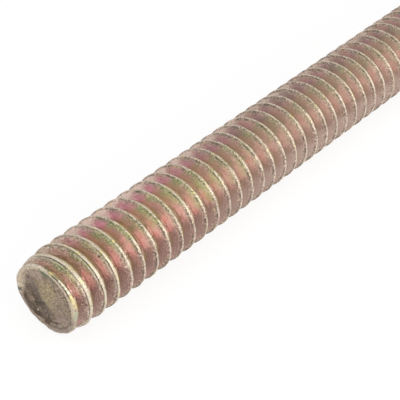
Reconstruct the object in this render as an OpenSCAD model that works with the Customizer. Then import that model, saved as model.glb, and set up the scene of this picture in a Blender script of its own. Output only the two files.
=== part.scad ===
// Threaded rod: a length of cold-rolled steel with one thread from end to end.
// The rod lies along X. The shaped end, a rounded lip round a shallow cup with a low dome to one side,
// is at the origin, and the other end is cut square with a plain chamfer. All sizes are in millimetres.

/* [Thread] */
// Diameter over the crests of the thread
major_d = 4.69; // [4.4:0.01:5.6]
// Distance along the rod from one crest to the next
pitch = 1.058; // [0.85:0.001:1.2]
// Angle between the two flanks of a thread groove
flank_angle = 60; // [55:1:75]
// Width of the flat left on the crest
crest_flat = 0.132; // [0.06:0.002:0.24]
// Width of the flat at the bottom of the groove
root_flat = 0.21; // [0.12:0.002:0.32]
// Angle round the rod, from +Y towards +Z, at which the first crest leaves the shaped end
thread_start = 206; // [0:1:359]

/* [Rod] */
// Length from the lip of the shaped end to the cut end
rod_len = 50.8; // [12:0.1:66]

/* [Shaped end] */
// Outside diameter of the lip
lip_d = 4.14; // [3.8:0.02:4.3]
// Width of the lip along the rod, before the groove begins
lip_w = 0.14; // [0.08:0.01:0.3]
// Angle, from square to the rod, at which the lip falls away into the first groove
lip_back_angle = 35; // [10:1:60]
// Length over which the first turns grow from the lip to the full diameter
lead_len = 1.15; // [0.5:0.05:3]
// Diameter of the cup inside the lip
cup_d = 3.5; // [2.4:0.05:3.6]
// Depth of the dome's top below the top of the lip
dome_depth = 0.12; // [0.02:0.01:0.3]
// Depth of the valley that is left beside the dome
valley_depth = 0.36; // [0.3:0.02:0.8]
// How far the dome sits from the middle of the cup, as a share of the cup's radius
dome_shift = 0.27; // [0:0.01:0.3]
// Angle round the rod, from +Y towards +Z, at which the dome meets the lip
dome_angle = 165; // [0:1:359]
// How far the lip leans out of square, over the radius of the lip
lean = 0.14; // [0:0.01:0.3]
// Angle round the rod, from +Y towards +Z, at which the lip stands out furthest
lean_angle = 110; // [0:1:359]

/* [Cut end] */
// Diameter of the flat face at the cut end
cut_face_d = 3.3; // [2.4:0.05:3.4]
// Angle between the chamfer of the cut end and the rod's axis
cut_chamfer_angle = 45; // [30:1:60]

/* [Smoothness] */
// Facets in one turn of the thread
turn_facets = 24; // [16:2:26]

/* [Hidden] */

crest_r = major_d / 2;
thread_depth = (pitch - crest_flat - root_flat) / 2 / tan(flank_angle / 2);
root_r = crest_r - thread_depth;
lip_r = lip_d / 2;
cup_r = cup_d / 2;
cut_face_r = cut_face_d / 2;
// The thread's own points keep this far from the rings of each end
end_gap = 0.03;

// One turn of the thread profile: where each point lies along the pitch, and its radius
profile_x = [-crest_flat / 2, crest_flat / 2, (pitch - root_flat) / 2, (pitch + root_flat) / 2];
profile_r = [crest_r, crest_r, root_r, root_r];
profile_n = len(profile_x);
// The thread is laid out from one and a half turns before the shaped end to past the cut end
turns = ceil(rod_len / pitch) + 4;
profile_count = profile_n * turns;

function column_angle(i) = 360 * i / turn_facets;

// How far the face of the shaped end lies from square at radius r in column i, and at a point of it
function face_x(i, r) = -lean * r / lip_r * cos(column_angle(i) - lean_angle);
function lean_x(y, z) = -lean / lip_r * (y * cos(lean_angle) + z * sin(lean_angle));

// Place along the rod of thread point g in column i
function thread_x(g, i) =
    pitch * (floor(g / profile_n) + i / turn_facets - thread_start / 360 - 1) + profile_x[g % profile_n];

// The lip and the lead hold the thread in at the shaped end, and the chamfer does at the cut end
function lead_r(d) = lip_r + (crest_r - lip_r) * min(1, max(0, d) / lead_len);
function lip_back_r(d) = lip_r - max(0, d) / tan(lip_back_angle);
function chamfer_r(d) = cut_face_r + d * tan(cut_chamfer_angle);
function thread_r(g, i) =
    let (x = thread_x(g, i), from_lip = x - face_x(i, lip_r) - lip_w)
    min(max(profile_r[g % profile_n], lip_back_r(from_lip)), lead_r(from_lip), chamfer_r(rod_len - x));

// The first and the last thread point that lie between the two ends, in each column
column_range = [0 : turn_facets - 1];
thread_range = [0 : profile_count - 1];
first_g = [for (i = column_range)
    len([for (g = thread_range) if (thread_x(g, i) < face_x(i, lip_r) + lip_w + end_gap) g])];
last_g = [for (i = column_range) len([for (g = thread_range) if (thread_x(g, i) < rod_len - end_gap) g]) - 1];

// Rings of the cup's floor, as shares of the cup's radius and of the way down from the dome to the valley
dome_rings = [[0.3, 0.12], [0.57, 0.6]];
valley_ring = [0.88, 1];
// Rings of the lip, by the angle round its half circle
lip_ring_angles = [-50, -10, 30, 65];
near_count = len(dome_rings) + 1 + len(lip_ring_angles) + 1;

lip_mid_r = (cup_r + lip_r) / 2;
lip_half = (lip_r - cup_r) / 2;
shift_y = dome_shift * cup_r * cos(dome_angle);
shift_z = dome_shift * cup_r * sin(dome_angle);

// A point of the floor. On the dome's side the floor stays as high as the dome, and opposite that side
// it drops to the valley.
function floor_point(i, ring, off) =
    let (
        y = cup_r * ring[0] * cos(column_angle(i)) + off * shift_y,
        z = cup_r * ring[0] * sin(column_angle(i)) + off * shift_z,
        drop = ring[1] * (1 - cos(column_angle(i) - dome_angle)) / 2
    )
    [dome_depth + (valley_depth - dome_depth) * drop + lean_x(y, z), y, z];

// A point at this distance behind the face and this radius, in column i
function round_point(i, x, r) = [x, r * cos(column_angle(i)), r * sin(column_angle(i))];

// Each column runs along the rod through the floor, the lip, the thread points and the rim of the cut face
columns = [for (i = column_range) concat(
    [for (ring = dome_rings) floor_point(i, ring, 1)],
    [floor_point(i, valley_ring, 0)],
    [for (a = lip_ring_angles) let (r = lip_mid_r + lip_half * sin(a))
        round_point(i, lip_w * (1 - cos(a)) + face_x(i, r), r)],
    [round_point(i, lip_w + face_x(i, lip_r), lip_r)],
    [for (g = [first_g[i] : last_g[i]]) round_point(i, thread_x(g, i), thread_r(g, i))],
    [round_point(i, rod_len, cut_face_r)]
)];
column_starts = [for (i = 0, start = 0; i < turn_facets; start = start + len(columns[i]), i = i + 1) start];
point_count = column_starts[turn_facets - 1] + len(columns[turn_facets - 1]);
cup_centre = point_count;
face_centre = point_count + 1;

rod_points = concat(
    [for (i = column_range) each columns[i]],
    [[dome_depth + lean_x(shift_y, shift_z), shift_y, shift_z], [rod_len, 0, 0]]
);

// Point number of ring k, of thread point g and of the cut face's rim, in column i
function near_id(k, i) = column_starts[i] + k;
function thread_id(g, i) = column_starts[i] + near_count + g - first_g[i];
function far_id(i) = column_starts[i] + len(columns[i]) - 1;

function quad(p, q, r, s) = [[p, q, r], [p, r, s]];

// The strip between column i and the next one. After a full turn the thread has moved on by a pitch,
// so thread point g of the last column meets point g + profile_n of the first.
function strip(i) =
    let (
        j = (i + 1) % turn_facets,
        step = (i + 1 == turn_facets) ? profile_n : 0,
        lip = near_count - 1,
        meet = max(first_g[i], first_g[j] - step),
        part = last_g[j] - step
    )
    concat(
        [[cup_centre, near_id(0, i), near_id(0, j)]],
        [for (k = [0 : lip - 1])
            each quad(near_id(k, i), near_id(k + 1, i), near_id(k + 1, j), near_id(k, j))],
        // Behind the lip, points that only one of the two columns has are joined by fans
        [[near_id(lip, i), thread_id(first_g[i], i), near_id(lip, j)]],
        [for (g = [first_g[i] : 1 : meet - 1]) [thread_id(g, i), thread_id(g + 1, i), near_id(lip, j)]],
        [[thread_id(meet, i), thread_id(first_g[j], j), near_id(lip, j)]],
        [for (g = [first_g[j] : 1 : meet + step - 1])
            [thread_id(meet, i), thread_id(g + 1, j), thread_id(g, j)]],
        [for (g = [meet : part - 1])
            each quad(thread_id(g, i), thread_id(g + 1, i), thread_id(g + 1 + step, j), thread_id(g + step, j))],
        // At the cut end the next column runs out of points first
        [for (g = [part : 1 : last_g[i] - 1])
            [thread_id(g, i), thread_id(g + 1, i), thread_id(last_g[j], j)]],
        [[thread_id(last_g[i], i), far_id(i), thread_id(last_g[j], j)]],
        [[far_id(i), far_id(j), thread_id(last_g[j], j)]],
        [[far_id(i), face_centre, far_id(j)]]
    );

module threaded_rod() {
    color("#a38d78")
        polyhedron(points = rod_points, faces = [for (i = column_range) each strip(i)], convexity = 10);
}

threaded_rod();
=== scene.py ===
import math

import bpy
import numpy as np
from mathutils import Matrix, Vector, noise


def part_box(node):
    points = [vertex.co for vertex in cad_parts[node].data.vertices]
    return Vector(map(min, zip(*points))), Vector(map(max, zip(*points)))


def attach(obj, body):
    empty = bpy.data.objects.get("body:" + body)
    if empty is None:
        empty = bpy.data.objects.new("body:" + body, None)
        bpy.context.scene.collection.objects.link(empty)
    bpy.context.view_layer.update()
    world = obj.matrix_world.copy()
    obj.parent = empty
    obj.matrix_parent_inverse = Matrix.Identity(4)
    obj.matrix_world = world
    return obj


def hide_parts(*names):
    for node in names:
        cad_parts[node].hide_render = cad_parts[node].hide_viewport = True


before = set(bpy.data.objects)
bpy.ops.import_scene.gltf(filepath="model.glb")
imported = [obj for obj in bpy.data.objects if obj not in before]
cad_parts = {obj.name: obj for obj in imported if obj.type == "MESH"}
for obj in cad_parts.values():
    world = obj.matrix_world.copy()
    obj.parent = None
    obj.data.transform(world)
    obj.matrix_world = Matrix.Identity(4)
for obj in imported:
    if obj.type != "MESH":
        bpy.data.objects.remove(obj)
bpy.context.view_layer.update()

# Lengths in this script are in millimetres, and MM turns them into Blender's metres. Angles round the rod
# are in degrees from +Y towards +Z. An arc is the angles at which it starts and ends, and the degrees over
# which it fades. A grain is its cycles in a millimetre along the rod and round it, and its seed.
MM = 0.001

# The rod, read from the frame
rod_low, rod_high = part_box("threaded_rod")
CREST_R = rod_high[2] / MM
ROD_LEN = rod_high[0] / MM

# The thread
PITCH = 1.058
FLANK_ANGLE = 60
CREST_FLAT = 0.132
ROOT_FLAT = 0.21
THREAD_START = 206
THREAD_DEPTH = (PITCH - CREST_FLAT - ROOT_FLAT) / 2 / math.tan(math.radians(FLANK_ANGLE / 2))
ROOT_R = CREST_R - THREAD_DEPTH

# The shaped end
LIP_R = 2.07
LIP_W = 0.14
LIP_BACK_ANGLE = 35
LEAD_LEN = 1.15
CUP_R = 1.75
DOME_DEPTH = 0.12
VALLEY_DEPTH = 0.36
DOME_SHIFT = 0.27
DOME_ANGLE = 165
LEAN = 0.14
LEAN_ANGLE = 110
LIP_MID_R = (CUP_R + LIP_R) / 2
LIP_HALF_W = (LIP_R - CUP_R) / 2

# The cut end
CUT_FACE_R = 1.65
CUT_CHAMFER_ANGLE = 45

# The skin's own steps: facets in a turn, and how far from the shaped end it is twice and four times as fine
TURN_STEPS = 64
FINE_LEN = 7.6
FINEST_LEN = 2.5
# The turns start this many before the shaped end, and this many more are made than the rod has
TURNS_BEFORE = 1
TURNS_SPARE = 4
# The outline's first point is a plane of this size, merged
POINT_SIZE = 0.1
# Points closer than this are one point: among the turns, at the ends, and on a cutting plane
WELD_GAP = 0.001
END_WELD_GAP = 0.0005
CUT_TOLERANCE = 0.0001
# Faces further than this before the shaped end are cut away later, and stay coarse
COARSE_BEFORE = -0.4
# Edges sharper than this stay sharp
SMOOTH_ANGLE = 45
# Rings across the lip, by their angle round its half circle, and rings of the cup's floor and of the cut
# face, as shares of their radius
LIP_RINGS = (80, 72, 66, 61, 56, 51, 45, 36, 26, 14, 0, -16, -34, -54, -74, -90)
CUP_RINGS = (0.97, 0.93, 0.88, 0.82, 0.76, 0.7, 0.63, 0.57, 0.5, 0.43, 0.36, 0.3, 0.2, 0.1)
CUT_RINGS = (0.97, 0.85, 0.7, 0.55, 0.4, 0.25, 0.1)

# Over the first turns the rolled crest hasn't closed: it is wider, with a seam along it. It closes between
# two distances along the rod, and it is less open outside one arc.
OPEN_CREST_FLAT = 0.28
OPEN_CLOSES = (2.4, 5.6)
OPEN_ARC = (112, 168, 34)
OPEN_ELSEWHERE = 0.4
SEAM_DEPTH = 0.075
SEAM_WIDTH = 0.024
SEAM_OFF = 0.065
SEAM_WANDER = 0.018
SEAM_WANDER_GRAIN = (1.7, 1.9, 2.3)
SEAM_FAINT_GRAIN = (0.9, 1.1, 6.7)
SEAM_FAINTER = 0.6
SEAM_FAINTEST = 0.6
# The share of its depth that the seam keeps on a closed crest, and how fast its painted shade deepens as the
# crest opens
CLOSED_SEAM = 0.1
SEAM_DARKER = 1.6

# A crest line wanders along the rod and is worn down in places, and its edge is torn. A reach is two
# distances from the crest line, as shares of the pitch, between which they fade in.
CREST_WANDER = 0.03
WANDER_GRAIN = (1.1, 1.3, 5.1)
CREST_WEAR = 0.012
WEAR_GRAIN = (2.7, 3.1, 11.7)
WEAR_REACH = (0.3, 0.1)
CREST_TEAR = 0.011
TEAR_GRAIN = (6.5, 7.5, 4.4)
TEAR_REACH = (0.13, 0.05)

# The lip's back stands further out where the thread starts, and the lead rounds off what it cuts
START_BULGE = 0.15
START_ARC = (160, 184, 16)
LEAD_ROUND = 0.03

# The cup, with reaches as shares of its radius. Inside the first its floor is drawn to the dome's side, and
# across the second the valley gets its depth.
SHIFT_REACH = (0.95, 0.5)
VALLEY_REACH = (0.35, 0.88)
# The valley is shallower in one arc
SHALLOWER = 0.45
SHALLOW_ARC = (24, 90, 26)
# The wall up to the lip starts at this share of the radius. It starts further in where it slopes and where
# the lip is wide, and there its top is further in too.
WALL_FOOT = 0.92
SLOPING_IN = 0.2
SLOPING_ARC = (22, 100, 35)
WIDE_LIP_FOOT_IN = 0.13
WIDE_LIP_TOP_IN = 0.1
WIDE_LIP_ARC = (238, 280, 22)
# The floor's roughness, which fades at the lip and is doubled in one arc, away from the dome
FLOOR_COARSE = 0.03
FLOOR_COARSE_GRAIN = (2.6, 3.1, 7.9)
FLOOR_FINE = 0.02
FLOOR_FINE_GRAIN = (7, 8.5, 2.9)
ROUGH_FADE = (1, 0.9)
ROUGH_FLOOR_REACH = (0.5, 0.75)
ROUGH_FLOOR_ARC = (10, 100, 30)

# The lip isn't quite round: how much its radius gains in each arc. It is roughly rolled, most of all at the
# bottom. Both fade out behind the face, between two distances from it.
LIP_BULGES = ((0.08, (222, 262, 22)), (0.07, (-14, 12, 16)), (-0.035, (44, 56, 14)))
LIP_ROUGH = 0.02
LIP_ROUGHER = 0.025
ROUGH_LIP_ARC = (200, 300, 20)
ROUGH_ALONG_SHARE = 0.7
ROUGH_ROUND_GRAIN = (2.2, 2.6, 3.3)
ROUGH_ALONG_GRAIN = (2.9, 3.4, 9.3)
LIP_FADE = (0.45, 0.15)
# A seam runs along part of its outer edge, this far behind the face
LIP_SEAM_DEPTH = 0.07
LIP_SEAM_PLACE = 0.055
LIP_SEAM_WIDTH = 0.022
LIP_SEAM_ARC = (108, 154, 10)

# A pit in one flank: its place along the rod and its angle, its depth and its size
PIT_PLACE = (2.76, 128)
PIT_DEPTH = 0.09
PIT_SIZE = 0.06
# Burrs that stand up from the crests: place along the rod, angle and height. Their size along the rod and
# round it, and how far down a crest they reach.
BURRS = ((2.34, 192, 0.05), (5.54, 165, 0.05), (6.44, 160, 0.04), (8.6, 160, 0.05))
BURR_SIZE = (0.08, 0.09)
BURR_REACH = 0.12

# What belongs to the lip and the cup lies this near behind the face and along the rod. The cup ends at this
# share of its radius.
NEAR_FACE = 0.4
NEAR_END = 1
CUP_EDGE = 0.999
# For the material, in widths of the lip behind the face: where the face ends, how far the lip counts as high
# as a crest, and how far it has a seam of its own. The valley's painted shade starts and is full at two
# depths.
FACE_ENDS = (0.6, 0.3)
HIGH_LIP = 1.2
SEAMED_LIP = 1.1
VALLEY_SHADE_DEPTHS = (0.12, 0.32)

# The floor's size in metres and its grey. The camera sees it glow, and this share of what it sees is glow.
FLOOR_SIZE = 2
FLOOR_GREY = (0.9, 0.9, 0.9, 1)
FLOOR_GLOW = 1.08
FLOOR_GLOW_SHARE = 0.78
WHITE = (1, 1, 1, 1)

# The world's light on the rod, and the long lamp: its angle round the rod, its distance, size and watts
WORLD_STRENGTH = 0.8
LAMP_ANGLE = 160
LAMP_DISTANCE = 150
LAMP_LEN = 1600
LAMP_W = 50
LAMP_POWER = 0.84

# The camera, at the photograph's viewing angle: it looks down and along the rod from beside the shaped end
CAMERA_PLACE = (-43.72, -44.73, 48.76)
CAMERA_DOWN = 34.47
CAMERA_HEADING = 38.36
CAMERA_LENS = 138.25
CAMERA_SENSOR = 36


def select_only(piece):
    bpy.ops.object.select_all(action="DESELECT")
    bpy.context.view_layer.objects.active = piece
    piece.select_set(True)


def apply_modifiers(piece):
    select_only(piece)
    for modifier in list(piece.modifiers):
        bpy.ops.object.modifier_apply(modifier=modifier.name)


def smooth_step(low, high, value):
    share = np.clip((value - low) / (high - low), 0, 1)
    return share * share * (3 - 2 * share)


def soft_min(a, b, reach):
    """The lower of two values, with the corner between them rounded over this reach."""
    near = np.clip(1 - np.abs(a - b) / reach, 0, 1)
    return np.minimum(a, b) - near * near * reach / 4


def soft_max(a, b, reach):
    return -soft_min(-a, -b, reach)


# The thread's profile, by the distance from a crest line as a share of the pitch: 0 on the crest and 0.5 in
# the groove
CREST_EDGE = CREST_FLAT / 2 / PITCH
ROOT_EDGE = 0.5 - ROOT_FLAT / 2 / PITCH
PROFILE_SHARES = (0.5, ROOT_EDGE, 0.36, 0.25, 0.145, CREST_EDGE * 1.15, CREST_EDGE * 0.85, 0)
# How much of the profile's height is rounded at the groove and at the crest's edges
ROOT_ROUND = 0.22
CREST_ROUND = 0.06


def profile_height(share):
    """From 0 in the groove to 1 on the crest, with a rounded groove and barely rounded crest edges."""
    flank = (ROOT_EDGE - np.abs(share)) / (ROOT_EDGE - CREST_EDGE)
    return soft_min(soft_max(flank, 0 * flank, ROOT_ROUND), 1 + 0 * flank, CREST_ROUND)


def open_crest(share, openness):
    """Moves the profile's points outwards from the crest line, as far as the crest is still open."""
    wide_edge = CREST_EDGE + (OPEN_CREST_FLAT - CREST_FLAT) / 2 / PITCH * openness
    size = np.abs(share)
    on_crest = size * wide_edge / CREST_EDGE
    on_flank = wide_edge + (size - CREST_EDGE) * (ROOT_EDGE - wide_edge) / (ROOT_EDGE - CREST_EDGE)
    moved = np.where(size < CREST_EDGE, on_crest, np.where(size < ROOT_EDGE, on_flank, size))
    return np.sign(share) * moved


class Skin:
    """The skin's vertices as distance along the rod, radius and angle, all as arrays."""

    def __init__(self, piece):
        self.mesh = piece.data
        places = np.empty(len(self.mesh.vertices) * 3)
        self.mesh.vertices.foreach_get("co", places)
        places = places.reshape(-1, 3) / MM
        self.x = places[:, 0]
        self.r = np.hypot(places[:, 1], places[:, 2])
        self.angle = np.arctan2(places[:, 2], places[:, 1])

    def write(self):
        places = np.stack([self.x, self.r * np.cos(self.angle), self.r * np.sin(self.angle)], axis=1) * MM
        self.mesh.vertices.foreach_set("co", places.reshape(-1))
        self.mesh.update()

    def store(self, name, values):
        """Keeps one value for each vertex with the mesh, for its material to read."""
        attributes = self.mesh.attributes
        layer = attributes[name] if name in attributes else attributes.new(name, "FLOAT", "POINT")
        layer.data.foreach_set("value", values.astype(np.float32))

    def kept(self, name):
        values = np.empty(len(self.x), np.float32)
        self.mesh.attributes[name].data.foreach_get("value", values)
        return values

    def face_x(self, radius):
        """How far the leaning face of the shaped end lies from square, at this radius."""
        return -LEAN * radius / LIP_R * np.cos(self.angle - math.radians(LEAN_ANGLE))

    def from_lip(self):
        """Distance along the rod from the back of the lip."""
        return self.x - self.face_x(LIP_R) - LIP_W

    def lead(self):
        """The radius that the crests may reach, which grows from the lip's to their own."""
        return LIP_R + (CREST_R - LIP_R) * np.clip(self.from_lip() / LEAD_LEN, 0, 1)

    def crest_share(self):
        """Distance from the nearest crest line, as a share of the pitch from -0.5 to 0.5."""
        turns = self.x / PITCH - self.angle / math.tau + THREAD_START / 360
        return turns - np.round(turns)

    def grain(self, along, around, seed, chosen=None):
        """Smooth noise over the surface, between about -1 and 1, and 0 where it isn't chosen."""
        chosen = np.ones(len(self.x), bool) if chosen is None else chosen
        places = np.stack([self.x * along + seed, self.r * np.cos(self.angle) * around,
                           self.r * np.sin(self.angle) * around + seed], axis=1)
        values = np.zeros(len(self.x))
        values[chosen] = [noise.noise(Vector(place)) for place in places[chosen]]
        return values

    def turned(self, degrees):
        """Angle from this place round the rod, from -180 to 180."""
        return (np.degrees(self.angle) - degrees + 180) % 360 - 180

    def arc(self, start, end, fade):
        """1 between two angles round the rod, fading to 0 outside them."""
        off = np.abs(self.turned((start + end) / 2)) - (end - start) / 2
        return 1 - smooth_step(0, fade, off)

    def spot(self, x, degrees, width, length):
        """A soft spot at x and an angle round the rod, this wide along the rod and this long round it."""
        turn = np.radians(self.turned(degrees)) * CREST_R
        return np.exp(-((self.x - x) / width) ** 2 - (turn / length) ** 2)


def thread_skin():
    """The turns are screwed from one outline, which is drawn by extruding a vertex from point to point."""
    points = [(-share, profile_height(np.array(share))) for share in PROFILE_SHARES]
    points += [(-share, height) for share, height in reversed(points[:-1])]
    outline = [((share - THREAD_START / 360 - TURNS_BEFORE) * PITCH, ROOT_R + THREAD_DEPTH * height)
               for share, height in points]
    start = (outline[0][0] * MM, outline[0][1] * MM, 0)
    bpy.ops.object.select_all(action="DESELECT")
    bpy.ops.mesh.primitive_plane_add(size=POINT_SIZE * MM, location=start)
    piece = bpy.context.object
    bpy.ops.object.mode_set(mode="EDIT")
    bpy.ops.mesh.select_all(action="SELECT")
    bpy.ops.mesh.merge(type="CENTER")
    for (x0, r0), (x1, r1) in zip(outline, outline[1:]):
        move = ((x1 - x0) * MM, (r1 - r0) * MM, 0)
        bpy.ops.mesh.extrude_region_move(TRANSFORM_OT_translate={"value": move})
    bpy.ops.object.mode_set(mode="OBJECT")
    bpy.ops.object.transform_apply(location=True)
    screw = piece.modifiers.new("turns", "SCREW")
    screw.axis = "X"
    screw.angle = math.tau
    screw.screw_offset = PITCH * MM
    screw.iterations = math.ceil(ROD_LEN / PITCH) + TURNS_SPARE
    screw.steps = screw.render_steps = TURN_STEPS
    apply_modifiers(piece)
    bpy.ops.object.mode_set(mode="EDIT")
    bpy.ops.mesh.select_all(action="SELECT")
    bpy.ops.mesh.remove_doubles(threshold=WELD_GAP * MM)
    bpy.ops.object.mode_set(mode="OBJECT")
    return piece


def refine(piece, far_x):
    """Halves the faces between the shaped end and this distance from it."""
    mesh = piece.data
    middles = np.empty(len(mesh.polygons) * 3)
    mesh.polygons.foreach_get("center", middles)
    along = middles.reshape(-1, 3)[:, 0] / MM
    bpy.ops.object.mode_set(mode="EDIT")
    bpy.ops.mesh.select_mode(type="FACE")
    bpy.ops.mesh.select_all(action="DESELECT")
    bpy.ops.object.mode_set(mode="OBJECT")
    mesh.polygons.foreach_set("select", (along < far_x) & (along > COARSE_BEFORE))
    bpy.ops.object.mode_set(mode="EDIT")
    bpy.ops.mesh.subdivide(number_cuts=1)
    bpy.ops.object.mode_set(mode="OBJECT")


def tear_crest(skin, share):
    """A crest line wanders a little, is worn in places, and its edge is finely torn."""
    near_crest = smooth_step(*WEAR_REACH, np.abs(share))
    skin.x += CREST_WANDER * skin.grain(*WANDER_GRAIN) * near_crest
    skin.r -= CREST_WEAR * (1 + skin.grain(*WEAR_GRAIN)) * near_crest
    edge = smooth_step(*TEAR_REACH, np.abs(share))
    skin.r -= CREST_TEAR * (1 + skin.grain(*TEAR_GRAIN, edge > 0)) * edge


def crest_seam(skin, share, openness):
    """1 along the rolled seam beside the crest line, less where it is faint, and 0 elsewhere."""
    off = SEAM_OFF + SEAM_WANDER * skin.grain(*SEAM_WANDER_GRAIN)
    seam = np.exp(-((share * PITCH * (1 + openness) + off) / SEAM_WIDTH) ** 2)
    return seam * np.clip(1 + SEAM_FAINTER * skin.grain(*SEAM_FAINT_GRAIN), SEAM_FAINTEST, 1)


def hold_between_ends(skin, seam_depth):
    """The lip's back and the lead hold the thread at the shaped end, and the chamfer does at the cut end."""
    bulge = START_BULGE * skin.arc(*START_ARC)
    back = LIP_R - np.maximum(skin.from_lip() - bulge, 0) / math.tan(math.radians(LIP_BACK_ANGLE))
    chamfer = CUT_FACE_R + np.maximum(ROD_LEN - skin.x, 0) * math.tan(math.radians(CUT_CHAMFER_ANGLE))
    skin.r = soft_min(np.maximum(skin.r, back), skin.lead() - seam_depth, LEAD_ROUND)
    skin.r = np.minimum(skin.r, chamfer)


def roll_thread(piece):
    """Gives every vertex its true place on the thread."""
    skin = Skin(piece)
    share = skin.crest_share()
    openness = 1 - smooth_step(*OPEN_CLOSES, skin.x)
    openness *= OPEN_ELSEWHERE + (1 - OPEN_ELSEWHERE) * skin.arc(*OPEN_ARC)
    skin.x += (open_crest(share, openness) - share) * PITCH
    skin.r = ROOT_R + THREAD_DEPTH * profile_height(share)
    tear_crest(skin, share)
    seam = crest_seam(skin, share, openness)
    skin.r -= SEAM_DEPTH * seam * (openness * (1 - CLOSED_SEAM) + CLOSED_SEAM)
    # The seam's share of painted shade, stronger as the crest opens
    skin.store("seam", seam * np.minimum(openness * SEAM_DARKER, 1))
    hold_between_ends(skin, SEAM_DEPTH * seam * openness)
    skin.write()


def cut(plane_x, plane_normal, keep_far):
    bpy.ops.mesh.select_all(action="SELECT")
    bpy.ops.mesh.bisect(plane_co=(plane_x * MM, 0, 0), plane_no=plane_normal, threshold=CUT_TOLERANCE * MM,
                        clear_inner=keep_far, clear_outer=not keep_far)


def draw_rings(start_x, start_r, outline):
    """From the open rim, rings are extruded in turn, each drawn towards the axis and moved along the rod."""
    x, r = start_x, start_r
    for next_x, next_r in outline:
        share = next_r / r
        bpy.ops.mesh.extrude_region_move(TRANSFORM_OT_translate={"value": (0, 0, 0)})
        bpy.ops.transform.resize(value=(share, share, share), center_override=(x * MM, 0, 0))
        bpy.ops.transform.translate(value=((next_x - x) * MM, 0, 0))
        x, r = next_x, next_r
    bpy.ops.mesh.merge(type="CENTER")


def lip_ring(degrees):
    turn = math.radians(degrees)
    return (LIP_W * (1 - math.cos(turn)), LIP_MID_R + LIP_HALF_W * math.sin(turn))


def close_ends(piece):
    """Cuts both ends, and closes them with the lip and a plain floor, and with the cut face."""
    select_only(piece)
    bpy.ops.object.mode_set(mode="EDIT")
    bpy.ops.mesh.select_mode(type="EDGE")
    tilt = LEAN / LIP_R
    lean = math.radians(LEAN_ANGLE)
    cut(LIP_W, (1, tilt * math.cos(lean), tilt * math.sin(lean)), keep_far=True)
    lip = [lip_ring(degrees) for degrees in LIP_RINGS]
    draw_rings(LIP_W, LIP_R, lip + [(VALLEY_DEPTH, CUP_R * share) for share in CUP_RINGS])
    cut(ROD_LEN, (1, 0, 0), keep_far=False)
    draw_rings(ROD_LEN, CUT_FACE_R, [(ROD_LEN, CUT_FACE_R * share) for share in CUT_RINGS])
    bpy.ops.mesh.select_all(action="SELECT")
    bpy.ops.mesh.remove_doubles(threshold=END_WELD_GAP * MM)
    bpy.ops.mesh.normals_make_consistent(inside=False)
    bpy.ops.object.mode_set(mode="OBJECT")


def press_cup(skin, in_cup):
    """Draws the dome to one side of the cup, where it meets the lip, and leaves a valley opposite.

    Gives back how deep the floor lies below the lip.
    """
    level = skin.r / CUP_R
    off = smooth_step(*SHIFT_REACH, level) * in_cup
    turn = np.radians(DOME_ANGLE)
    y = skin.r * np.cos(skin.angle) + off * DOME_SHIFT * CUP_R * np.cos(turn)
    z = skin.r * np.sin(skin.angle) + off * DOME_SHIFT * CUP_R * np.sin(turn)
    drop = (1 - np.cos(skin.angle - turn)) / 2 * smooth_step(*VALLEY_REACH, level)
    drop *= 1 - SHALLOWER * skin.arc(*SHALLOW_ARC)
    depth = DOME_DEPTH + (VALLEY_DEPTH - DOME_DEPTH) * drop
    wide = skin.arc(*WIDE_LIP_ARC)
    wall_foot = WALL_FOOT - SLOPING_IN * skin.arc(*SLOPING_ARC) - WIDE_LIP_FOOT_IN * wide
    wall = smooth_step(wall_foot, 1 - WIDE_LIP_TOP_IN * wide, level)
    depth = depth * (1 - wall) + LIP_W * wall
    skin.r, skin.angle = np.hypot(y, z), np.arctan2(z, y)
    rough = FLOOR_COARSE * skin.grain(*FLOOR_COARSE_GRAIN, in_cup)
    rough += FLOOR_FINE * skin.grain(*FLOOR_FINE_GRAIN, in_cup)
    rough *= 1 + skin.arc(*ROUGH_FLOOR_ARC) * smooth_step(*ROUGH_FLOOR_REACH, level)
    rough *= smooth_step(*ROUGH_FADE, level)
    skin.x = np.where(in_cup, skin.face_x(skin.r) + depth + rough, skin.x)
    return depth


def roll_lip(skin, lip, from_face):
    """Gives the lip its uneven outline, its roughly rolled lower part and its seam. Gives back the seam."""
    on_lip = lip * smooth_step(*LIP_FADE, from_face)
    fuller = sum(gain * skin.arc(*arc) for gain, arc in LIP_BULGES)
    rough = LIP_ROUGH + LIP_ROUGHER * skin.arc(*ROUGH_LIP_ARC)
    skin.r += on_lip * (fuller + rough * skin.grain(*ROUGH_ROUND_GRAIN, lip))
    skin.x += on_lip * rough * ROUGH_ALONG_SHARE * skin.grain(*ROUGH_ALONG_GRAIN, lip)
    seam = lip * (from_face < LIP_W) * np.exp(-((from_face - LIP_SEAM_PLACE) / LIP_SEAM_WIDTH) ** 2)
    seam *= skin.arc(*LIP_SEAM_ARC) * (skin.r > LIP_MID_R)
    skin.r -= LIP_SEAM_DEPTH * seam
    return seam


def dent_thread(skin):
    """A pit in one flank, and burrs that stand up from the crests."""
    skin.r -= PIT_DEPTH * skin.spot(*PIT_PLACE, PIT_SIZE, PIT_SIZE)
    for x, degrees, height in BURRS:
        raised = skin.r + height * skin.spot(x, degrees, *BURR_SIZE)
        skin.r = np.where(skin.r > CREST_R - BURR_REACH, raised, skin.r)
    skin.r = np.minimum(skin.r, CREST_R)


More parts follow.
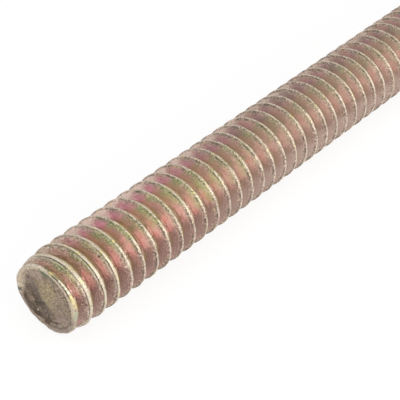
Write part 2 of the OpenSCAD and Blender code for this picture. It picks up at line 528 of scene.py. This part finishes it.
def finish_surface(piece):
    """Shapes the cup, the lip and the thread's small faults, and stores what the material reads."""
    skin = Skin(piece)
    from_face = skin.x - skin.face_x(skin.r)
    near_lip = (from_face < NEAR_FACE) & (skin.x < NEAR_END)
    in_cup = near_lip & (skin.r < CUP_R * CUP_EDGE)
    depth = press_cup(skin, in_cup)
    lip_seam = roll_lip(skin, near_lip & ~in_cup, from_face)
    dent_thread(skin)
    skin.write()

    height = np.clip((skin.r - ROOT_R) / (skin.lead() - ROOT_R), 0, 1)
    from_face = skin.x - skin.face_x(skin.r)
    front = near_lip * smooth_step(*FACE_ENDS, from_face / LIP_W)
    front = np.where(in_cup | near_lip & (skin.r < LIP_MID_R), 1, front)
    on_cut_face = skin.x > ROD_LEN - WELD_GAP
    skin.store("height", np.where(near_lip & (from_face < LIP_W * HIGH_LIP), 1, height))
    skin.store("share", skin.crest_share())
    skin.store("front", np.maximum(front, on_cut_face))
    # The share of painted shade in the cup's valley, by its depth
    skin.store("valley", np.where(in_cup, smooth_step(*VALLEY_SHADE_DEPTHS, depth), 0))
    skin.store("seam", np.where(near_lip & (from_face < LIP_W * SEAMED_LIP), lip_seam, skin.kept("seam")))


rod = thread_skin()
refine(rod, FINE_LEN)
refine(rod, FINEST_LEN)
roll_thread(rod)
close_ends(rod)
finish_surface(rod)
select_only(rod)
bpy.ops.object.shade_smooth_by_angle(angle=math.radians(SMOOTH_ANGLE))
rod.name = rod.data.name = "threaded_rod_finish"
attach(rod, "root")
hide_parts("threaded_rod")


# Materials

class Wire:
    """One output socket. An expression on wires and numbers adds its Math nodes."""

    def __init__(self, bench, socket):
        self.bench = bench
        self.socket = socket

    def other(self, output):
        """Another output of the same node."""
        return Wire(self.bench, self.socket.node.outputs[output])

    def __add__(self, other):
        return self.bench.math("ADD", self, other)

    __radd__ = __add__

    def __mul__(self, other):
        return self.bench.math("MULTIPLY", self, other)

    __rmul__ = __mul__

    def __sub__(self, other):
        return self.bench.math("SUBTRACT", self, other)

    def __rsub__(self, other):
        return self.bench.math("SUBTRACT", other, self)

    def __truediv__(self, other):
        return self.bench.math("DIVIDE", self, other)

    def __rtruediv__(self, other):
        return self.bench.math("DIVIDE", other, self)

    def __pow__(self, other):
        return self.bench.math("POWER", self, other)

    def __rpow__(self, other):
        return self.bench.math("POWER", other, self)

    def __abs__(self):
        return self.bench.math("ABSOLUTE", self)


class Bench:
    """The nodes of a material or of the world."""

    def __init__(self, owner):
        self.owner = owner
        owner.use_nodes = True
        self.tree = owner.node_tree
        self.tree.nodes.clear()

    def node(self, kind, settings=None, inputs=None, output=0):
        """Adds a node: its settings first, then a value or a wire for each socket named."""
        node = self.tree.nodes.new(kind)
        for name, value in (settings or {}).items():
            setattr(node, name, value)
        for name, value in (inputs or {}).items():
            if isinstance(value, Wire):
                self.tree.links.new(value.socket, node.inputs[name])
            else:
                node.inputs[name].default_value = value
        return Wire(self, node.outputs[output])

    def math(self, operation, *values):
        return self.node("ShaderNodeMath", {"operation": operation}, dict(enumerate(values)))

    def ease(self, value, start, end):
        """0 up to the start and 1 from the end on, with a smooth rise. The start may be the larger one."""
        inputs = {"Value": value, "From Min": start, "From Max": end}
        return self.node("ShaderNodeMapRange", {"interpolation_type": "SMOOTHSTEP"}, inputs)

    def mix(self, share, first, second):
        inputs = {"Factor": share, 6: first, 7: second}
        return self.node("ShaderNodeMix", {"data_type": "RGBA", "clamp_factor": True}, inputs, output=2)

    def coats(self, under, *coats):
        """Lays coats over a colour in turn. Each is the share that it covers, and its colour."""
        for share, colour in coats:
            under = self.mix(share, under, colour)
        return under

    def attribute(self, name):
        return self.node("ShaderNodeAttribute", {"attribute_name": name}, output="Fac")

    def noise(self, place, scale, detail, rough):
        inputs = {"Vector": place, "Scale": scale, "Detail": detail, "Roughness": rough}
        return self.node("ShaderNodeTexNoise", {"noise_dimensions": "3D"}, inputs)

    def seen_rays(self):
        """1 for what the camera sees, straight or reflected or through glass, and 0 for light on the rod."""
        camera_rays = self.node("ShaderNodeLightPath", output="Is Camera Ray")
        seen = self.math("MAXIMUM", camera_rays, camera_rays.other("Is Glossy Ray"))
        return self.math("MAXIMUM", seen, camera_rays.other("Is Transmission Ray"))

    def finish(self, kind, surface):
        out = self.tree.nodes.new(kind)
        self.tree.links.new(surface.socket, out.inputs["Surface"])
        return self.owner


# How the metal shines, and how deep its fine relief is
METALLIC = 0.5
ROUGHNESS = 0.4
BUMP_STRENGTH = 0.8
BUMP_DEPTH = 0.04


def paint(red, green, blue):
    """A colour given as it looks on a screen, 0 to 255, as the linear colour that the shader takes."""
    def linear(value):
        value /= 255
        return value / 12.92 if value <= 0.04045 else ((value + 0.055) / 1.055) ** 2.4
    return (linear(red), linear(green), linear(blue), 1)


# The film on the flanks, from the groove up and round the rod. The groove's colours hold painted shade,
# deeper where the lamp's streak falls, and painted light on one side.
FOOT_WITH_SHADE = paint(158, 132, 94)
FOOT_SHADE = paint(118, 92, 64)
FOOT_PAINTED_LIGHT = paint(196, 154, 124)
ROSE = paint(192, 142, 132)
DUSTY_ROSE = paint(178, 144, 122)
MAGENTA = paint(212, 136, 156)
ORCHID = paint(194, 124, 144)
SALMON = paint(222, 172, 160)
EMBER = paint(222, 134, 124)
BROWN = paint(170, 143, 117)
MAUVE = paint(151, 116, 105)
OLIVE = paint(140, 136, 110)
GREEN = paint(136, 154, 92)
MOSS = paint(116, 138, 86)
LEAF = paint(176, 173, 120)
PALE = paint(232, 206, 192)
DUSTY = paint(186, 162, 138)
DARK = paint(84, 76, 62)
SHADE = paint(120, 92, 78)
# The same further along the rod, where it is plainer. Its pale is partly a painted sheen at the upper limb,
# and its shade is painted shade.
TAN = paint(157, 135, 117)
FAR_PALE_AND_SHEEN = paint(198, 178, 164)
FAR_SHADE = paint(112, 100, 98)
# The crests
CREAM = paint(202, 190, 170)
GOLD = paint(222, 206, 144)
BRIGHT_GOLD = paint(226, 206, 112)
# The white of painted highlights, on the crests and on the lip's rim
HIGHLIGHT_WHITE = paint(232, 223, 204)
SILVER = paint(206, 200, 180)
FRINGE = paint(170, 164, 112)
# The lip and the cup
BEIGE = paint(208, 192, 168)
LIP_SHADE = paint(160, 143, 130)
TAUPE = paint(143, 124, 101)
DOME_GOLD = paint(174, 158, 110)
# The painted shade of the cup's valley
VALLEY_SHADE = paint(110, 95, 84)
FACE_PALE = paint(180, 164, 138)
FACE_DARK = paint(112, 94, 84)
# The painted shade of the crevice at the cup's wall
CREVICE_SHADE = paint(66, 52, 42)

# Spots: a colour, then distance along the rod, radius, angle and reach of each spot of it
SPOT_STRENGTH = 0.85
FACE_TINTS = (
    # The valley's upper end, where its painted shade is lighter because it is shallow
    (paint(172, 152, 134), ((0.14, 1.3, 68, 0.45), (0.12, 1.5, 50, 0.4))),
    (paint(134, 114, 105), ((0.2, 1.4, 27, 0.38), (0.22, 1.2, 14, 0.4))),
    # The dome's lower side, and the pinker floor between it and the lip
    (paint(140, 122, 105), ((0.15, 1.1, 212, 0.45),)),
    (paint(164, 140, 132), ((0.19, 1.47, 223, 0.3), (0.22, 1.45, 245, 0.3))),
)
MARKS = (
    # Grey-green on the inside of the lip
    (paint(92, 108, 84), ((0, 1.72, 86, 0.22), (0, 1.7, 95, 0.26), (-0.02, 1.74, 103, 0.2),
                          (0, 1.66, 111, 0.18))),
    # Painted shade where the cup's floor meets the lip
    (paint(92, 76, 64), ((0.28, 1.62, 276, 0.3), (0.1, 1.79, 231, 0.1), (0.08, 1.77, 219, 0.1),
                         (0.06, 1.86, 207, 0.1))),
    # The outer edge of the lip: a painted white highlight, and worn gold and grey-green
    (paint(236, 230, 208), ((0, 2.07, 124, 0.12), (0.02, 2.07, 130, 0.13), (0.04, 2.07, 137, 0.13),
                            (0.07, 2.07, 144, 0.13))),
    (paint(216, 203, 144), ((-0.05, 2.08, 107, 0.16), (0.1, 2.08, 153, 0.18), (0.16, 2.08, 161, 0.22),
                            (0.17, 2.08, 169, 0.18))),
    (paint(174, 176, 150), ((0.12, 2.08, 180, 0.18), (0.12, 2.08, 189, 0.18))),
    # A nick in the lip, with a painted glint on one side and dark on the other, with dull metal below it
    (paint(206, 212, 212), ((0.02, 1.92, 1, 0.09),)),
    (paint(128, 128, 108), ((0.06, 2.06, 352, 0.16), (0.08, 2.04, 343, 0.14), (0.1, 2.02, 334, 0.12))),
    (paint(76, 84, 78), ((0.06, 1.92, 352, 0.13),)),
    # Painted glints in the valley
    (paint(222, 208, 178), ((0.36, 1.66, 304, 0.045), (0.37, 1.68, 306, 0.04), (0.36, 1.64, 287, 0.03))),
    # Painted shade in the pit
    (paint(60, 52, 50), ((2.76, 2.2, 128, 0.1),)),
    # Brown behind the lip
    (paint(112, 84, 70), ((0.6, 2.15, 167, 0.12), (0.75, 2.18, 174, 0.1), (0.5, 2.15, 194, 0.14))),
    # Pale scratches, and bare metal by the last burr
    (paint(236, 220, 200), ((3.66, 2.2, 153, 0.1), (3.99, 2.2, 161, 0.1), (8.7, 2.3, 158, 0.18))),
)


def cosine(degrees):
    return math.cos(math.radians(degrees))


class Film:
    """What the zinc's colours are laid out by: places on the rod, the skin's stored values, and noises."""

    def __init__(self, bench):
        b = self.bench = bench
        metres = b.node("ShaderNodeTexCoord", output="Object")
        inputs = {"Vector": metres, "Scale": 1 / MM}
        self.place = b.node("ShaderNodeVectorMath", {"operation": "SCALE"}, inputs)
        self.x = b.node("ShaderNodeSeparateXYZ", inputs={"Vector": self.place}, output="X")
        self.y = self.x.other("Y")
        self.z = self.x.other("Z")
        # The small number keeps the radius above 0 on the axis
        self.radius = (self.y * self.y + self.z * self.z + 0.0001) ** 0.5
        self.height = b.attribute("height")
        self.share = b.attribute("share")
        self.front = b.attribute("front")
        self.valley = b.attribute("valley")

        # Patches wander from turn to turn; rolled lines run along the thread, as the dies left them
        self.patch = self.noise(0.9, 3.0, 0.5) - 0.5
        thread = {"X": self.height * 5.5, "Y": self.y * 0.8, "Z": self.z * 0.8}
        along_thread = b.node("ShaderNodeCombineXYZ", inputs=thread)
        self.rolled = b.noise(along_thread, 2.2, 3.0, 0.6) - 0.5
        self.speckle = self.noise(10.0, 3.0, 0.7) - 0.5
        self.grit = self.noise(19.0, 2.0, 0.6) - 0.5
        self.blot = self.noise(5.5, 3.0, 0.65) - 0.5
        self.tint = self.noise(2.4, 3.0, 0.6)
        self.other_tint = self.noise(1.6, 3.0, 0.6)

        self.near_start = b.ease(self.x, 3.6, 1.4)
        self.on_crest = self.crest_zone()

    def noise(self, scale, detail, rough):
        """Noise in space, between 0 and 1, with this many cycles in a millimetre."""
        return self.bench.noise(self.place, scale, detail, rough)

    def facing(self, degrees):
        """1 on the side of the rod at this angle, 0 a quarter turn from it, and -1 opposite."""
        turn = math.radians(degrees)
        return (self.y * math.cos(turn) + self.z * math.sin(turn)) / self.radius

    def band(self, centre, inner, outer):
        """A zone along the rod and again on the far side: full up to the inner angle, gone at the outer."""
        facing = self.facing(centre)
        doubled = facing * facing * 2 - 1 + self.patch * 1.1 + self.rolled * 0.5 + self.speckle * 0.5
        return self.bench.ease(doubled, cosine(2 * outer), cosine(2 * inner))

    def mark(self, x, radius, degrees, reach):
        """A ragged spot round a point, given by its place along the rod, its radius and its angle."""
        turn = math.radians(degrees)
        point = (x, radius * math.cos(turn), radius * math.sin(turn))
        ends = {0: self.place, 1: point}
        far = self.bench.node("ShaderNodeVectorMath", {"operation": "DISTANCE"}, ends, output="Value")
        return self.bench.ease(far / reach + self.speckle * 1.6 + self.patch * 0.6, 1.15, 0.5)

    def spots(self, under, groups):
        coats = [(self.mark(*spot) * SPOT_STRENGTH, colour) for colour, spots in groups for spot in spots]
        return self.bench.coats(under, *coats)

    def arc_line(self, radius, width, centre, reach, shift=0):
        """A line round the axis, this wide to each side, up to an angle to each side of its centre."""
        near = 1 - abs(self.radius + shift - radius + self.patch * 0.15) / width
        facing = self.facing(centre) + self.speckle * 0.1
        ends = self.bench.ease(facing, cosine(reach + 10), cosine(reach - 10))
        return self.bench.ease(near + self.speckle * 0.8, 0.0, 0.6) * ends

    def thread_line(self, share, sharpness, ragged):
        """A line along the thread, this share of the pitch from the crest line."""
        return 1 - abs(self.share - share + self.speckle * ragged) * sharpness

    def crest_zone(self):
        """1 on the crests, with ragged edges. It is wider where the crest is still open."""
        b = self.bench
        opened = b.ease(self.x, 5, 2) * 0.06
        level = self.height + self.speckle * 0.35 + self.grit * 0.15 - abs(self.share) * 0.3 + opened
        place = self.share + self.speckle * 0.04
        return b.ease(level, 0.912, 0.965) * b.ease(place, -0.1, -0.07) * b.ease(place, 0.14, 0.11)


def flank_film(film):
    """The flanks change round the rod, from the groove to the crest, along the rod and in small patches."""
    b, x, height = film.bench, film.x, film.height
    rolled, tint, other_tint, near_start = film.rolled, film.tint, film.other_tint, film.near_start
    behind_lead = b.ease(x, 1.7, 3.4)
    upper_side = b.ease(film.facing(50), 0.1, 0.4)
    # A painted sheen along the upper limb, where the metal would catch the bright surroundings at a grazing
    # angle
    limb_sheen_zone = film.band(50, 0, 26) * upper_side
    limb_sheen = b.mix(near_start * 0.8, PALE, DUSTY)
    patchy = 0.35 + b.ease(other_tint, 0.42, 0.54) * 0.65
    middle = b.coats(
        ROSE,
        # Mauve round 185 degrees is partly the film's tint and partly painted shade
        (film.band(188, 12, 38), MAUVE),
        (near_start * upper_side * 0.6, DUSTY_ROSE),
        (film.band(82, 2, 26) * behind_lead * patchy, MAGENTA),
        (film.band(112, 0, 22), BROWN),
        # Salmon is partly the film's tint and partly a painted highlight along the lamp's streak
        (film.band(138, 0, 24), SALMON),
        (limb_sheen_zone, limb_sheen),
        # The film's thickness changes in small patches, and with it the tint
        (b.ease(tint - height * 0.12, 0.42, 0.56) * film.band(142, 0, 20) * 0.7, EMBER),
        (b.ease(other_tint, 0.5, 0.6) * film.band(114, 0, 26) * 0.7, MOSS),
        (b.ease(other_tint, 0.5, 0.4) * film.band(92, 0, 34) * behind_lead * 0.6, ORCHID),
    )
    upper = b.coats(
        OLIVE,
        (film.band(118, 0, 28), GREEN),
        # Mauve round 185 degrees is partly the film's tint and partly painted shade
        (film.band(184, 10, 38), MAUVE),
        (limb_sheen_zone, limb_sheen),
        (b.ease(tint, 0.44, 0.34) * 0.6, GOLD),
    )
    # The groove's colour, darkened as painted shade, and darker still as painted shade where the lamp's
    # streak falls
    shaded_groove = b.mix(film.band(146, 4, 26), FOOT_WITH_SHADE, FOOT_SHADE)
    # Plainer tan further along, paler round 200 degrees, and with a painted sheen of the same pale at the
    # upper limb
    far_film = b.coats(TAN, (film.band(200, 0, 34), FAR_PALE_AND_SHEEN), (film.band(46, 0, 18) * upper_side, FAR_PALE_AND_SHEEN))
    leafy = film.band(124, 0, 18) * b.ease(x, 4.8, 6.2) * b.ease(x, 10.5, 9)
    leafy = leafy + film.band(137, 0, 18) * b.ease(x, 9, 10.5) * b.ease(x, 17, 12)
    flank_height = height + rolled * 0.5 + film.speckle * 0.3 + film.patch * 0.5
    return b.coats(
        shaded_groove,
        (b.ease(flank_height, 0.02, 0.26), middle),
        # Painted light in the groove on one side of the rod
        (film.band(104, 0, 20) * b.ease(height, 0.7, 0.2) * 0.75, FOOT_PAINTED_LIGHT),
        (b.ease(rolled, 0.04, 0.2) * (0.28 + near_start * 0.25), PALE),
        (b.ease(rolled, -0.04, -0.2) * (0.28 + near_start * 0.4), SHADE),
        (b.ease(flank_height, 0.5, 0.9) * 0.8, upper),
        (b.ease(x, 7, 20) * 0.6, far_film),
        # Painted shade on the upper side further along
        (b.ease(x, 8, 18) * film.band(82, 0, 16) * 0.4, FAR_SHADE),
        (leafy * b.ease(flank_height, 0.15, 0.6) * 0.6, LEAF),
    )


def crest_film(film, under):
    """Pale and golden crests, partly painted highlight, with a dark broken line before them where the rolled
    metal has folded over.
    """
    b, x = film.bench, film.x
    broken = b.ease(film.noise(1.9, 3.0, 0.6) + film.rolled * 0.5, 0.42, 0.58)
    fold = b.ease(film.thread_line(-0.095, 29, 0.08), 0.0, 0.6)
    bright_fold = b.ease(film.thread_line(-0.155, 30, 0.06), 0.0, 0.6)
    golden = b.ease(film.tint, 0.54, 0.64)
    # A thin painted highlight along the crest's far edge
    painted_crest_highlight = b.ease(film.thread_line(0.03, 26, 0.05), 0.0, 0.7) * b.ease(film.rolled + film.patch, -0.1, 0.1)
    crest = b.coats(
        CREAM,
        (golden * 0.6, GOLD),
        (golden * film.band(118, 0, 18), BRIGHT_GOLD),
        (painted_crest_highlight * 0.6, HIGHLIGHT_WHITE),
    )
    fringe = b.ease(film.share + film.speckle * 0.05, 0.05, 0.085) * b.ease(film.share, 0.17, 0.1)
    return b.coats(
        under,
        (fold * broken * 0.8, DARK),
        # The fold's far edge shines near the shaped end
        (bright_fold * broken * b.ease(x, 5, 1.5) * 0.65, SILVER),
        (film.on_crest, crest),
        (fringe * 0.6, FRINGE),
    )


def cup_film(film):
    """The lip's face, and the cup with its golden dome and the painted shade of its valley."""
    b, patch, speckle = film.bench, film.patch, film.speckle
    # The lip's face is beige above and goes into painted shade below
    lip = b.mix(b.ease(film.z + patch, 0.2, -0.9), BEIGE, LIP_SHADE)
    # The lip is wider at the bottom
    wide = b.ease(film.facing(258), 0.75, 1.0) * 0.17
    above_axis = film.z - 0.3
    on_dome = b.ease(film.y * film.y + above_axis * above_axis + patch * 1.5, 1.1, 0.1)
    blots = film.blot + speckle * 0.5
    face = b.coats(
        TAUPE,
        (on_dome * 0.62, DOME_GOLD),
        (b.ease(film.radius + wide + patch * 0.4, 1.6, 1.8), lip),
        # Painted shade in the cup's deep valley
        (b.ease(film.valley + speckle * 0.9 + film.blot * 1.3 + patch * 0.4, 0.05, 0.85), VALLEY_SHADE),
    )
    return b.coats(
        film.spots(face, FACE_TINTS),
        (b.ease(blots, 0.0, 0.16) * 0.6, FACE_PALE),
        (b.ease(blots, 0.0, -0.16) * 0.6, FACE_DARK),
        # Painted shade along the crevice where the cup's floor meets its wall
        (film.arc_line(1.74, 0.1, 296, 52, wide) * 0.85, CREVICE_SHADE),
        (film.arc_line(1.56, 0.035, 318, 18) * 0.6, BEIGE),
    )


def specks(film):
    """Specks are strong near the crests and the shaped end, and faint in the groove and on the lip."""
    b = film.bench
    strength = 0.34 + b.ease(film.height, 0.4, 0.85) * 0.6 + b.ease(film.x, 5, 0.5) * 0.35
    on_lip = film.front * b.ease(film.radius, 1.6, 1.8)
    return (film.speckle + film.grit * 0.7) * strength * (1 - on_lip * 0.55)


def passivated_zinc():
    """Yellow-passivated zinc: a thin film that shows rose, salmon, olive and gold over bright metal, with
    painted light and shade in its colours.
    """
    b = Bench(bpy.data.materials.new("passivated zinc"))
    film = Film(b)
    front, speckle, rolled = film.front, film.speckle, film.rolled
    specked = specks(film)
    colour = b.coats(
        crest_film(film, flank_film(film)),
        (front, cup_film(film)),
        # A painted highlight along the lip's upper outer rim
        (film.arc_line(2.02, 0.06, 70, 24) * b.ease(film.x, 0.25, 0.1) * 0.7, HIGHLIGHT_WHITE),
        (b.ease(specked, 0.02, 0.16) * (0.6 - front * 0.4), PALE),
        (b.ease(specked, -0.02, -0.17) * (0.65 - film.on_crest * 0.3), DARK),
        # Painted shade in the seams along the first crests and the lip
        (b.ease(b.attribute("seam") + speckle * 0.5 + rolled * 0.3, 0.15, 0.65) * 0.8, DARK),
    )
    relief = rolled * (1 - front) * 0.5 + speckle * 0.7 + film.grit * 0.3
    bump = {"Strength": BUMP_STRENGTH, "Distance": BUMP_DEPTH * MM, "Height": relief}
    surface = b.node("ShaderNodeBsdfPrincipled", inputs={
        "Base Color": film.spots(colour, MARKS),
        "Metallic": METALLIC,
        "Roughness": ROUGHNESS + speckle * 0.3 + front * 0.1,
        "Normal": b.node("ShaderNodeBump", inputs=bump),
    })
    return b.finish("ShaderNodeOutputMaterial", surface)


def pale_floor():
    """A floor that the camera and reflections see as white, with the rod's shadow on it."""
    b = Bench(bpy.data.materials.new("pale floor"))
    diffuse = b.node("ShaderNodeBsdfDiffuse", inputs={"Color": FLOOR_GREY})
    glow = b.node("ShaderNodeEmission", inputs={"Color": WHITE, "Strength": FLOOR_GLOW})
    white = b.node("ShaderNodeMixShader", inputs={0: FLOOR_GLOW_SHARE, 1: diffuse, 2: glow})
    surface = b.node("ShaderNodeMixShader", inputs={0: b.seen_rays(), 1: diffuse, 2: white})
    return b.finish("ShaderNodeOutputMaterial", surface)


rod.data.materials.clear()
rod.data.materials.append(passivated_zinc())

bpy.ops.object.select_all(action="DESELECT")
bpy.ops.mesh.primitive_plane_add(size=FLOOR_SIZE, location=(0, 0, rod_low[2]))
floor = bpy.context.object
floor.name = "floor"
floor.data.materials.append(pale_floor())


# Light

def studio_world():
    """White where it is seen, and a little dimmer as light on the rod."""
    b = Bench(bpy.data.worlds.new("studio"))
    strength = WORLD_STRENGTH + b.seen_rays() * (1 - WORLD_STRENGTH)
    background = b.node("ShaderNodeBackground", inputs={"Color": WHITE, "Strength": strength})
    bpy.context.scene.world = b.finish("ShaderNodeOutputWorld", background)


def strip_light(name, degrees, distance, length, width, power):
    """A long lamp beside the rod and along it, at an angle round it."""
    data = bpy.data.lights.new(name, "AREA")
    data.shape = "RECTANGLE"
    data.size = length * MM
    data.size_y = width * MM
    data.energy = power
    lamp = bpy.data.objects.new(name, data)
    turn = math.radians(degrees)
    lamp.location = (0, distance * math.cos(turn) * MM, distance * math.sin(turn) * MM)
    lamp.rotation_euler = (turn - math.pi / 2, 0, 0)
    bpy.context.collection.objects.link(lamp)


studio_world()
strip_light("long softbox", LAMP_ANGLE, LAMP_DISTANCE, LAMP_LEN, LAMP_W, LAMP_POWER)

camera_data = bpy.data.cameras.new("camera")
camera_data.sensor_width = CAMERA_SENSOR
camera_data.lens = CAMERA_LENS
camera_data.clip_start = 1 * MM
camera = bpy.data.objects.new("camera", camera_data)
camera.location = [value * MM for value in CAMERA_PLACE]
camera.rotation_euler = (math.radians(90 - CAMERA_DOWN), 0, math.radians(CAMERA_HEADING - 90))
bpy.context.collection.objects.link(camera)
bpy.context.scene.camera = camera

bpy.context.scene.view_settings.view_transform = "Standard"
